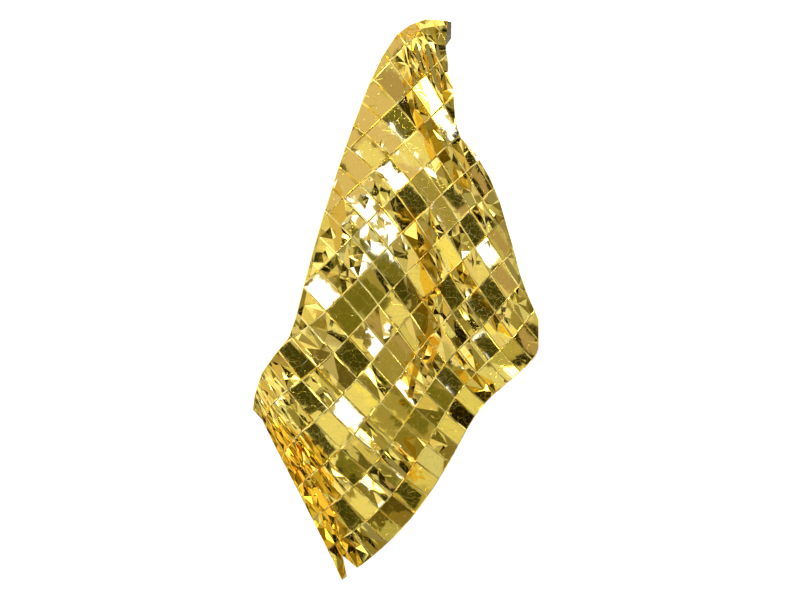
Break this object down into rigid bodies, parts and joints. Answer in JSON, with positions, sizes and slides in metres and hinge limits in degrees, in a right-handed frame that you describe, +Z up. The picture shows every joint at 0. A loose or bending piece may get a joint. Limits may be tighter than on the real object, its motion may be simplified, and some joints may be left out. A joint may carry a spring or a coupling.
{
  "type": "emergency foil blanket",
  "caption": "Thin gold and silver film blanket, laid out with half of it turned under; a pressed grid of creases, crumpled facets and long folds.",
  "frame": {"origin": "middle of the underside, on the floor the blanket lies on", "axes": "+X across the blanket, towards its turned-in right side; +Y along it, towards the hood end; +Z up off the floor"},
  "size_m": [0.9446, 1.8508, 0.0421],
  "materials": {
    "gold_foil": "mirror-like metallised film, gold above and silver on the reverse"
  },
  "bodies": {
    "root": {"blanket": "gold_foil"}
  },
  "joints": []
}
